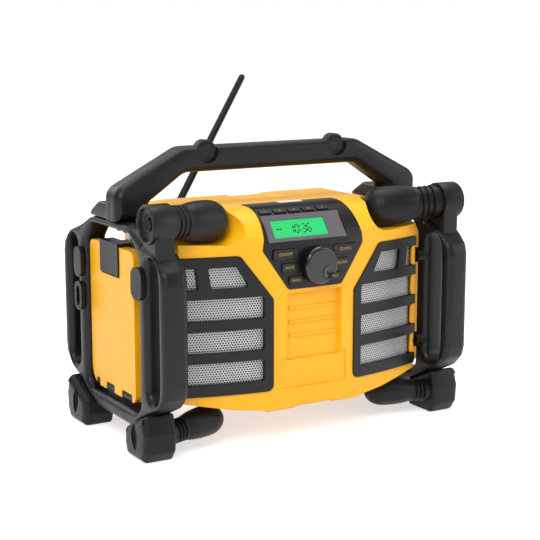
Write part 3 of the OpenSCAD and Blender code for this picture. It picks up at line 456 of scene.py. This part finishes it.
class RadioSizes(bpy.types.PropertyGroup):
    """Sizes of the dressed pieces."""
    frame_edge: FloatProperty(name="Cage edge radius", description="Rounding of the side frames' edges",
                              default=0.009, min=0.001, max=0.014, unit="LENGTH")
    handle_edge: FloatProperty(name="Handle edge radius", description="Rounding of the handle's edges",
                               default=0.009, min=0.001, max=0.014, unit="LENGTH")
    mesh_pitch: FloatProperty(name="Perforation pitch",
                              description="Distance between the holes of the grille",
                              default=0.0034, min=0.002, max=0.006, unit="LENGTH")
    mesh_hole: FloatProperty(name="Perforation radius", description="Radius of a hole of the grille",
                             default=0.00115, min=0.0004, max=0.002, unit="LENGTH")


def look():
    return bpy.context.scene.radio_look


def sizes():
    return bpy.context.scene.radio_sizes


class Piece:
    """Shared by the operators: run on the loaded frame, in object mode."""
    bl_options = {"REGISTER", "UNDO"}


class RADIO_OT_stage(Piece, bpy.types.Operator):
    """Adds the camera at the photograph's angle, the studio lights and the pale floor"""
    bl_idname = "radio.stage"
    bl_label = "Stage"

    def execute(self, context):
        scene = context.scene
        scene.view_settings.view_transform = "Standard"
        camera = bpy.data.cameras.new("camera")
        camera.sensor_width, camera.lens = 36, CAMERA_LENS
        eye = bpy.data.objects.new("camera", camera)
        scene.collection.objects.link(eye)
        eye.location = CAMERA_AT
        az, el = math.radians(CAMERA_AZIMUTH), math.radians(CAMERA_ELEVATION)
        back = Vector((math.sin(az) * math.cos(el), -math.cos(az) * math.cos(el), math.sin(el)))
        eye.rotation_euler = (-back).to_track_quat("-Z", "Y").to_euler()
        scene.camera = eye
        for name, at, size, power in LAMPS:
            lamp = bpy.data.lights.new(name, "AREA")
            lamp.size, lamp.energy = size, power
            lit = bpy.data.objects.new(name, lamp)
            scene.collection.objects.link(lit)
            lit.location = at
            lit.rotation_euler = (LAMP_AIM - Vector(at)).to_track_quat("-Z", "Y").to_euler()
        floor = bpy.data.meshes.new("floor")
        corners = ((-1, -1), (1, -1), (1, 1), (-1, 1))
        floor.from_pydata([(u * FLOOR_HALF, v * FLOOR_HALF, 0) for u, v in corners], [], [(0, 1, 2, 3)])
        paper = bpy.data.objects.new("floor", floor)
        scene.collection.objects.link(paper)
        mat, tree, out, _ = start("paper_backdrop_white")
        path = add(tree, "ShaderNodeLightPath", (-400, 300))
        seen = add(tree, "ShaderNodeMath", (-200, 300), {0: path.outputs["Is Camera Ray"],
                   1: path.outputs["Is Glossy Ray"]}, operation="MAXIMUM")
        plain = add(tree, "ShaderNodeBsdfDiffuse", (0, 0), {"Color": (0.8, 0.8, 0.8, 1)})
        white = add(tree, "ShaderNodeEmission", (0, 150), {"Color": (1, 1, 1, 1), "Strength": 0.6})
        lit = add(tree, "ShaderNodeAddShader", (150, 100), {0: plain.outputs[0], 1: white.outputs[0]})
        mix = add(tree, "ShaderNodeMixShader", (300, 0), {0: seen.outputs[0], 1: plain.outputs[0],
                  2: lit.outputs[0]})
        tree.links.new(mix.outputs[0], out.inputs["Surface"])
        floor.materials.append(mat)
        world = bpy.data.worlds.new("studio")
        scene.world = world
        world.use_nodes = True
        tree = world.node_tree
        tree.nodes.clear()
        path = add(tree, "ShaderNodeLightPath", (-600, 200))
        soft = add(tree, "ShaderNodeBackground", (-200, 0), {"Color": (1, 1, 1, 1), "Strength": ROOM_LIGHT})
        plain = add(tree, "ShaderNodeBackground", (-200, 200), {"Color": (1, 1, 1, 1), "Strength": 1.0})
        mix = add(tree, "ShaderNodeMixShader", (0, 0), {0: path.outputs["Is Camera Ray"], 1: soft.outputs[0],
                  2: plain.outputs[0]})
        end = add(tree, "ShaderNodeOutputWorld", (200, 0))
        tree.links.new(mix.outputs[0], end.inputs["Surface"])
        return {"FINISHED"}


class RADIO_OT_finishes(Piece, bpy.types.Operator):
    """Makes the finishes and gives each CAD piece its own"""
    bl_idname = "radio.finishes"
    bl_label = "Finishes"

    def execute(self, context):
        f = make_finishes(look())
        groups = {
            "yellow": ["front_housing", "rear_housing", "storage_door", "battery_door"],
            "steel": ["housing_screws", "knob_shaft"], "dark": ["frame_screws", "handle_bolts"],
            "panel": ["control_panel"], "bezel": ["lcd_bezel"], "display": ["lcd_lens"],
            "board": ["lcd_module", "panel_board"], "foil": ["panel_label"], "gloss": ["tuning_knob"],
            "key": PRESETS + [f"key_{s}_{r}" for s, _ in SIDES for r in KEY_ROWS],
            "mesh": ["speaker_mesh_left", "speaker_mesh_right"],
            "basket": ["speaker_basket_left", "speaker_basket_right"],
            "cone": ["speaker_cone_left", "speaker_cone_right"],
            "cast": ["power_supply"],
            "rubber": [f"{k}_{e}_{s}" for k in ("low_bumper", "foot") for e, _ in ENDS for s, _ in SIDES]
            + ["bumper_front_left", "bumper_front_right", "frame_pads", "aerial_whip"],
        }
        done = [n for nodes in groups.values() for n in nodes]
        groups["black"] = [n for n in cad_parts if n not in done]
        for finish, nodes in groups.items():
            dress(nodes, f[finish])
        return {"FINISHED"}


def bumper_cup(bm):
    """The round cup of a side frame that holds a bumper, with a rim and a sunk ring round its screw."""
    length = CUP_OUT - CUP_IN
    profile = [(0, 0), (CUP_R - 0.6, 0), (CUP_R, 0.8), (CUP_R, length - 3)]
    profile += [(CUP_R - 2.2 + 2.2 * math.cos(t), length - 2.2 + 2.2 * math.sin(t))
                for t in (math.radians(15 * k) for k in range(7))]
    profile += [(CUP_R - 3.4, length - 0.3), (CUP_R - 4, length - 1.2), (CUP_R - 4.4, length - 4.2),
                (13.5, length - 5), (12.4, length - 7), (8.6, length - 7), (7.6, length - 3.6),
                (6.2, length - 3.2), (CUP_RING, length - 4), (CUP_RING, length - 14), (0, length - 14)]
    spin(bm, profile, 72, Matrix.Translation(Vector((CUP_IN, CUP_Y, CUP_Z)) / 1000)
         @ Matrix.Rotation(math.radians(90), 4, "Y"))


def frame_shape(bm, edge):
    """One side frame: the looped rail with its window and two slots, the bumper's cup and four arms."""
    top, low, half = FRAME_TOP, FRAME_BOTTOM, FRAME_HALF
    rail = rounded(both([(48, low, 16), (115, low + 31, 14), (132, low + 39, 10), (half - 4.5, low + 55, 12),
                         (half, low + 69, 12), (half, top - 60, 16), (half - 4, top - 46, 12),
                         (126, top - 28, 12), (96, top - 17, 10), (66, top - 5, 10), (48, top, 12)]))
    window = rounded(both([(WINDOW_HALF, WINDOW_LOW, 18), (WINDOW_HALF, WINDOW_HIGH - 26, 14),
                           (WINDOW_HALF - 22, WINDOW_HIGH, 14)]))
    slots = [box_outline(e * SLOT_MID - SLOT_W / 2, e * SLOT_MID + SLOT_W / 2, SLOT_LOW, SLOT_HIGH, 14.9)
             for _, e in ENDS]
    plate(bm, rail, FRAME_IN, FRAME_OUT, "X", edge, holes=[window, *slots])
    neck = [(CUP_Y + 21, top - 26, 0), (CUP_Y + 20, top + 7, 0), (CUP_Y - 20, top + 7, 0),
            (CUP_Y - 19, top - 34, 0)]
    plate(bm, rounded(neck), CUP_IN, FRAME_OUT - 2, "X", 5, 2, step=6)
    bumper_cup(bm)
    for (_, e), arm_from in zip(ENDS, ARM_FROM):
        for z in ARM_HEIGHTS:
            arm = [Vector((e * RIB_MID + ARM_R * math.cos(t), z + ARM_R * math.sin(t)))
                   for t in (math.tau * k / 40 for k in range(40))]
            plate(bm, arm, arm_from, FRAME_IN + 6, "X", 0.5, step=20)


class RADIO_OT_cage(Piece, bpy.types.Operator):
    """Makes the two rounded side frames"""
    bl_idname = "radio.cage"
    bl_label = "Side frames"

    def execute(self, context):
        for name, side in SIDES:
            bm = bmesh.new()
            frame_shape(bm, sizes().frame_edge * 1000)
            mirrored(bm, side)
            obj = new_object("cage_" + name, finish_mesh(bm, "cage_" + name), FINISHES["black"], 40)
            stand_for(obj, "side_frame_" + name, "radio")
        return {"FINISHED"}


def handle_section():
    """The handle's outline in X and Z: two legs and a straight bar."""
    outer = both([(LEG_OUT, FRAME_TOP, 0), (LEG_OUT, FRAME_TOP + 38, 18), (HANDLE_HALF + 1, HANDLE_TOP, 30)])
    inner = both([(LEG_IN, FRAME_TOP, 0), (LEG_IN - 6, FRAME_TOP + 21, 14),
                  (HANDLE_HALF - 2, HANDLE_LOW, 22)])
    return rounded(outer + inner[::-1])


def bolt_boss(bm, side):
    """The round boss of a handle bolt, from the parting line to its ringed face in the front's recess."""
    profile = [(0, 0), (BOLT_BOSS_R, 0), (BOLT_BOSS_R, 12.4), (BOLT_BOSS_R - 0.5, 13.5),
               (BOLT_BOSS_R - 1.6, 14), (10.6, 14), (10.2, 13), (9.2, 13), (8.8, 14), (5.6, 14),
               (4.9, 13.4), (4.9, 5), (0, 5)]
    spin(bm, profile, 64, across(side * BOLT_X, HANDLE_Y, BOLT_Z))


class RADIO_OT_handle(Piece, bpy.types.Operator):
    """Makes the two halves of the handle, with rounded edges, bolt bosses, nut pockets and heels"""
    bl_idname = "radio.handle"
    bl_label = "Handle"

    def execute(self, context):
        edge = sizes().handle_edge * 1000
        bm = bmesh.new()
        plate(bm, handle_section(), HANDLE_FRONT, HANDLE_Y, "Y", 0.5, edge, step=6)
        for vert in bm.verts:
            low = max(0.0, min(1.0, (FRAME_TOP + REACH_HIGH - vert.co.z * 1000) / REACH_SPAN))
            deep = (HANDLE_Y - vert.co.y * 1000) / (HANDLE_Y - HANDLE_FRONT)
            vert.co.y -= LEG_REACH / 1000 * low * low * (3 - 2 * low) * deep
        front = new_object("handle_front_shell", finish_mesh(bm, "handle_front_shell"), FINISHES["black"], 40)
        rings = bmesh.new()
        for _, side in SIDES:
            spin(rings, [(0, RECESS_AT), (BOLT_BOSS_R + 1, RECESS_AT), (BOLT_BOSS_R + 1.6, PAST), (0, PAST)],
                 64, across(side * BOLT_X, HANDLE_Y, BOLT_Z))
        cut(front, rings)
        bm = bmesh.new()
        bm.from_mesh(front.data)
        for _, side in SIDES:
            bolt_boss(bm, side)
        bm.to_mesh(front.data)
        bm.free()
        shade(front, 35)
        stand_for(front, "handle_front", "radio")
        bm = bmesh.new()
        plate(bm, handle_section(), HANDLE_Y, HANDLE_BACK, "Y", edge, 0.5, step=20)
        nuts = bmesh.new()
        for _, side in SIDES:
            spin(nuts, [(0, -PAST), (NUT_R, -PAST), (NUT_R, NUT_AT), (0, NUT_AT)],
                 6, across(side * BOLT_X, HANDLE_Y, BOLT_Z))
            heel = rounded([(HANDLE_Y + 2, FRAME_TOP, 6), (56, FRAME_TOP, 2), (50, FRAME_TOP + 8, 7),
                            (28, FRAME_TOP + 20.5, 14), (HANDLE_Y + 2, FRAME_TOP + 20.5, 6)])
            one = bmesh.new()
            plate(one, heel, FRAME_IN - 15, LEG_OUT - 0.5, "X", 3.5, 5, step=5)
            mirrored(one, side)
            held = bpy.data.meshes.new("heel")
            one.to_mesh(held)
            one.free()
            bm.from_mesh(held)
        rear = new_object("handle_rear_shell", finish_mesh(bm, "handle_rear_shell"), FINISHES["black"], 40)
        cut(rear, nuts, 40)
        stand_for(rear, "handle_rear", "radio")
        return {"FINISHED"}


def foot_outline():
    """A front foot's outline in Y and Z, with its top along the underside of the frame."""
    def under(y):
        return FRAME_BOTTOM + (y - 48) * 31 / 67
    return rounded([(-66, 0, 5), (-113, 0, 5), (-122, 13, 8), (-124, 36, 10), (-116, under(116) - 0.1, 3),
                    (-62, under(62) - 0.1, 3), (-60, 16, 8)])


class RADIO_OT_feet(Piece, bpy.types.Operator):
    """Makes the four corner feet, each with a lens-shaped hollow and a slot"""
    bl_idname = "radio.feet"
    bl_label = "Feet"

    def execute(self, context):
        for end, e in ENDS:
            for name, side in SIDES:
                bm = bmesh.new()
                plate(bm, foot_outline(), FOOT_IN, FOOT_OUT, "X", 9, 5, step=6)
                bits = bmesh.new()
                circles = [[c + Vector((math.cos(t), math.sin(t))) * LENS_R
                            for t in (math.tau * k / 64 for k in range(64))] for c in (LENS_A, LENS_B)]
                lens = [p for p in circles[0] if (p - LENS_B).length <= LENS_R]
                lens += [p for p in circles[1] if (p - LENS_A).length < LENS_R]
                mid = sum(lens, Vector((0, 0))) / len(lens)
                lens.sort(key=lambda p: math.atan2(p.y - mid.y, p.x - mid.x))
                plate(bits, lens, FOOT_OUT - LENS_DEEP, FOOT_OUT + 6, "X", 0.2, 1.2, step=20)
                tilt = Matrix.Rotation(math.radians(FOOT_SLOT_LEAN), 2)
                slot = [tilt @ p + FOOT_SLOT_AT for p in box_outline(-3.4, 3.4, -10, 10, 3.3)]
                plate(bits, slot, FOOT_OUT - FOOT_SLOT_DEEP, FOOT_OUT + 6, "X", 0.2, 1, step=20)
                for shape in (bm, bits):
                    mirrored(shape, side)
                    if e > 0:
                        bmesh.ops.scale(shape, vec=(1, -1, 1), verts=shape.verts)
                piece = f"foot_shoe_{end}_{name}"
                obj = new_object(piece, finish_mesh(bm, piece), FINISHES["rubber"], 35)
                cut(obj, bits, 35)
                stand_for(obj, f"foot_{end}_{name}", "radio")
        return {"FINISHED"}


def mesh_spots(pitch):
    """A staggered lattice over the grille's field, as (x, z) in mm."""
    field = [Vector(p) for p in ((GRILLE_IN, GRILLE_LOW), (MESH_OUT + 1, GRILLE_LOW),
                                 (MESH_OUT + 1, GRILLE_HIGH), (GRILLE_IN + 43, GRILLE_HIGH),
                                 (GRILLE_IN, GRILLE_HIGH - 56))]
    rows = int((GRILLE_HIGH - GRILLE_LOW) / (pitch * ROW_SHARE))
    for i in range(rows):
        z = GRILLE_LOW + 3 + i * pitch * ROW_SHARE
        for k in range(int((MESH_OUT - GRILLE_IN) / pitch) + 1):
            x = GRILLE_IN + 2.6 + pitch * (k + 0.5 * (i % 2))
            spot = Vector((x, z))
            if all((q - p).x * (spot - p).y - (q - p).y * (spot - p).x > SHEET_MARGIN * (q - p).length
                   for p, q in zip(field, field[1:] + field[:1])):
                yield x, z


def perforation_tree():
    """Geometry Nodes that set one pierced tile on each point of a lattice, turned to the bow of the front."""
    tree = bpy.data.node_groups.new("perforation", "GeometryNodeTree")
    face = tree.interface
    face.new_socket("Geometry", in_out="INPUT", socket_type="NodeSocketGeometry")
    for name, kind in (("Tile", "NodeSocketObject"), ("Pitch", "NodeSocketFloat"),
                       ("Material", "NodeSocketMaterial")):
        face.new_socket(name, in_out="INPUT", socket_type=kind)
    face.new_socket("Geometry", in_out="OUTPUT", socket_type="NodeSocketGeometry")
    given = add(tree, "NodeGroupInput", (-900, 0))
    tile = add(tree, "GeometryNodeObjectInfo", (-650, -200), {"Object": given.outputs["Tile"]})
    turn = add(tree, "GeometryNodeInputNamedAttribute", (-900, -400), {"Name": "turn"}, data_type="FLOAT")
    euler = add(tree, "ShaderNodeCombineXYZ", (-650, -400), {"Z": turn.outputs["Attribute"]})
    spin_to = add(tree, "FunctionNodeEulerToRotation", (-450, -400), {"Euler": euler.outputs["Vector"]})
    size = add(tree, "ShaderNodeCombineXYZ", (-450, -200), {"X": given.outputs["Pitch"],
               "Y": given.outputs["Pitch"], "Z": given.outputs["Pitch"]})
    placed = add(tree, "GeometryNodeInstanceOnPoints", (-200, 0), {"Points": given.outputs["Geometry"],
                 "Instance": tile.outputs["Geometry"], "Rotation": spin_to.outputs["Rotation"],
                 "Scale": size.outputs["Vector"]})
    real = add(tree, "GeometryNodeRealizeInstances", (50, 0), {"Geometry": placed.outputs["Instances"]})
    made = add(tree, "GeometryNodeSetMaterial", (250, 0), {"Geometry": real.outputs["Geometry"],
               "Material": given.outputs["Material"]})
    add(tree, "NodeGroupOutput", (450, 0), {"Geometry": made.outputs["Geometry"]})
    return tree


def pierced_tile(share):
    """A hexagonal tile of unit pitch with a round hole, in X and Z, its hole's wall running back along Y."""
    bm = bmesh.new()
    outer = []
    for k in range(6):
        a, b = (Vector((math.cos(t), 0, math.sin(t))) / math.sqrt(3)
                for t in (math.radians(30 + 60 * k), math.radians(90 + 60 * k)))
        outer += [a, a.lerp(b, 0.5)]
    inner = [Vector((math.cos(math.radians(30 + 30 * k)), 0, math.sin(math.radians(30 + 30 * k)))) * share
             for k in range(12)]
    rings = [[bm.verts.new(p) for p in outer], [bm.verts.new(p) for p in inner],
             [bm.verts.new(p + Vector((0, 0.25, 0))) for p in inner]]
    for a, b in zip(rings, rings[1:]):
        for k in range(12):
            bm.faces.new((a[k], a[(k + 1) % 12], b[(k + 1) % 12], b[k]))
    mesh = bpy.data.meshes.new("tile")
    bm.to_mesh(mesh)
    bm.free()
    return bpy.data.objects.new("tile", mesh)


class RADIO_OT_grilles(Piece, bpy.types.Operator):
    """Makes the perforated sheets behind the grille frames and the black cloth behind them"""
    bl_idname = "radio.grilles"
    bl_label = "Grille sheets"

    def execute(self, context):
        pitch = sizes().mesh_pitch * 1000
        tile = pierced_tile(sizes().mesh_hole * 1000 / pitch)
        context.scene.collection.objects.link(tile)
        tree = perforation_tree()
        for name, side in SIDES:
            bm = bmesh.new()
            layer = bm.verts.layers.float.new("turn")
            for x, z in mesh_spots(pitch):
                vert = bm.verts.new((side * x / 1000, bow_y(x, 4.4) / 1000, z / 1000))
                vert[layer] = side * math.asin(x / BOW_R)
            mesh = bpy.data.meshes.new("sheet_" + name)
            bm.to_mesh(mesh)
            bm.free()
            obj = new_object("sheet_" + name, mesh, FINISHES["mesh"])
            nodes = obj.modifiers.new("perforation", "NODES")
            nodes.node_group = tree
            wanted = {"Tile": tile, "Pitch": pitch / 1000, "Material": FINISHES["mesh"]}
            for item in tree.interface.items_tree:
                if item.item_type == "SOCKET" and item.in_out == "INPUT" and item.name in wanted:
                    nodes[item.identifier] = wanted[item.name]
            baked(obj)
            stand_for(obj, "speaker_mesh_" + name, "radio")
            cloth = bmesh.new()
            spots = [(GRILLE_IN + 2, GRILLE_LOW + 2), (MESH_OUT, GRILLE_LOW + 2), (MESH_OUT, GRILLE_HIGH - 2),
                     (GRILLE_IN + 44, GRILLE_HIGH - 2), (GRILLE_IN + 2, GRILLE_HIGH - 57)]
            plate(cloth, rounded([(x, z, 3) for x, z in spots]), 5.9, 6.5, "Y", 0.1, step=6)
            for vert in cloth.verts:
                vert.co.y = bow_y(vert.co.x * 1000, vert.co.y * 1000) / 1000
            mirrored(cloth, side)
            back = new_object("cloth_" + name, finish_mesh(cloth, "cloth_" + name), FINISHES["cloth"])
            stand_for(back, None, "radio")
        bpy.data.objects.remove(tile)
        return {"FINISHED"}


SEGMENTS = {"0": "abcdef", "1": "bc", "2": "abged", "3": "abgcd", "4": "fgbc", "5": "afgcd", "6": "afgedc",
            "7": "abc", "8": "abcdefg", "9": "abcdfg"}


def digit(bm, char, x, y, w, h, t, place, depth=0.15):
    """One seven-segment digit, w by h mm, with its lower left corner at x, y on a surface."""
    m = t / 2
    bars = {"a": ((m, h), (w - m, h)), "b": ((w, h - m), (w, h / 2 + m)), "c": ((w, h / 2 - m), (w, m)),
            "d": ((m, 0), (w - m, 0)), "e": ((0, h / 2 - m), (0, m)), "f": ((0, h - m), (0, h / 2 + m)),
            "g": ((m, h / 2), (w - m, h / 2))}
    for bar in SEGMENTS[char]:
        a, b = (Vector((x + u + 0.12 * v, y + v)) for u, v in bars[bar])
        run = (b - a).normalized()
        side = Vector((-run.y, run.x)) * m
        ring = [a, a + run * m + side, b - run * m + side, b, b - run * m - side, a + run * m - side]
        solid(bm, ring, place, depth)


def solid(bm, ring, place, depth):
    """A thin raised shape in mm, from an outline on a surface."""
    low, high = ([bm.verts.new(place @ (Vector((p.x, p.y, z)) / 1000)) for p in ring] for z in (-0.05, depth))
    bm.faces.new(low[::-1])
    bm.faces.new(high)
    for i in range(len(ring)):
        k = (i + 1) % len(ring)
        bm.faces.new((low[i], low[k], high[k], high[i]))


def words(name, text, size, place, material, depth=0.12):
    """Raised printing with Blender's own font, centred on a surface."""
    curve = bpy.data.curves.new(name, "FONT")
    curve.body, curve.size, curve.extrude = text, size / 1000, depth / 1000
    curve.align_x, curve.align_y, curve.resolution_u = "CENTER", "CENTER", 3
    carrier = bpy.data.objects.new(name, curve)
    bpy.context.scene.collection.objects.link(carrier)
    mesh = bpy.data.meshes.new_from_object(carrier.evaluated_get(bpy.context.evaluated_depsgraph_get()))
    mesh.transform(place)
    bpy.data.objects.remove(carrier)
    return new_object(name, mesh, material, 20)


class RADIO_OT_legends(Piece, bpy.types.Operator):
    """Prints the keys and shows the time on the display"""
    bl_idname = "radio.legends"
    bl_label = "Legends and display"

    def execute(self, context):
        bm = bmesh.new()
        place = on_roll(LCD_TILT, LCD_AT.x, LCD_AT.y, LCD_FACE)
        for k, char in enumerate("1036"):
            x = DIGIT_X + DIGIT_PITCH * k + (COLON_GAP if k > 1 else 0)
            digit(bm, char, x, DIGIT_Y, DIGIT_W, DIGIT_H, DIGIT_LINE, place)
        for x, y, w in MARKS:
            corners = ((0, 0), (1, 0), (1, MARK_H), (0, MARK_H))
            solid(bm, [Vector((x + u * w, y + v)) for u, v in corners], place, 0.15)
        time = new_object("display_time", finish_mesh(bm, "display_time"), FINISHES["segment"], 20)
        stand_for(time, None, "radio")
        for i, node in enumerate(PRESETS):
            x = PRESET_X + PRESET_PITCH * (i - 2)
            number = words(f"number_{i + 1}", str(i + 1), PRESET_TEXT,
                           on_roll(PRESET_TILT, x, 0, PRESET_FACE), FINISHES["gold"])
            stand_for(number, None, node)
        texts = {("left", 0): "ON/OFF", ("left", 1): "MODE", ("left", 2): "BAND",
                 ("right", 0): "CLOCK", ("right", 1): "ALARM", ("right", 2): "SET"}
        for (name, row), text in texts.items():
            side = -1 if name == "left" else 1
            x = side * KEY_X[row]
            y = bow_y(KEY_X[row], -1) - 1.8
            node = f"key_{name}_{KEY_ROWS[row]}"
            legend = words(f"legend_{name}_{KEY_ROWS[row]}", text, UPPER_TEXT if row == 0 else KEY_TEXT,
                           across(x, y, KNOB_Z + KEY_Z[row]), FINISHES["gold"])
            stand_for(legend, None, node)
        return {"FINISHED"}


OPERATORS = (RADIO_OT_stage, RADIO_OT_finishes, RADIO_OT_cage, RADIO_OT_handle, RADIO_OT_feet,
             RADIO_OT_grilles, RADIO_OT_legends)


class RADIO_PT_pieces(bpy.types.Panel):
    """Lists the radio's pieces, sizes and colours"""
    bl_idname = "RADIO_PT_pieces"
    bl_label = "Jobsite radio"
    bl_space_type = "VIEW_3D"
    bl_region_type = "UI"
    bl_category = "Radio"

    def draw(self, context):
        for group in (context.scene.radio_look, context.scene.radio_sizes):
            for name in group.__annotations__:
                self.layout.prop(group, name)
        for operator in OPERATORS:
            self.layout.operator(operator.bl_idname)


CLASSES = (RadioLook, RadioSizes, *OPERATORS, RADIO_PT_pieces)


def register():
    for cls in CLASSES:
        bpy.utils.register_class(cls)
    bpy.types.Scene.radio_look = PointerProperty(type=RadioLook)
    bpy.types.Scene.radio_sizes = PointerProperty(type=RadioSizes)


def unregister():
    del bpy.types.Scene.radio_look
    del bpy.types.Scene.radio_sizes
    for cls in reversed(CLASSES):
        bpy.utils.unregister_class(cls)


def main():
    register()
    for operator in OPERATORS:
        group, name = operator.bl_idname.split(".")
        getattr(getattr(bpy.ops, group), name)()


if __name__ == "__main__":
    main()
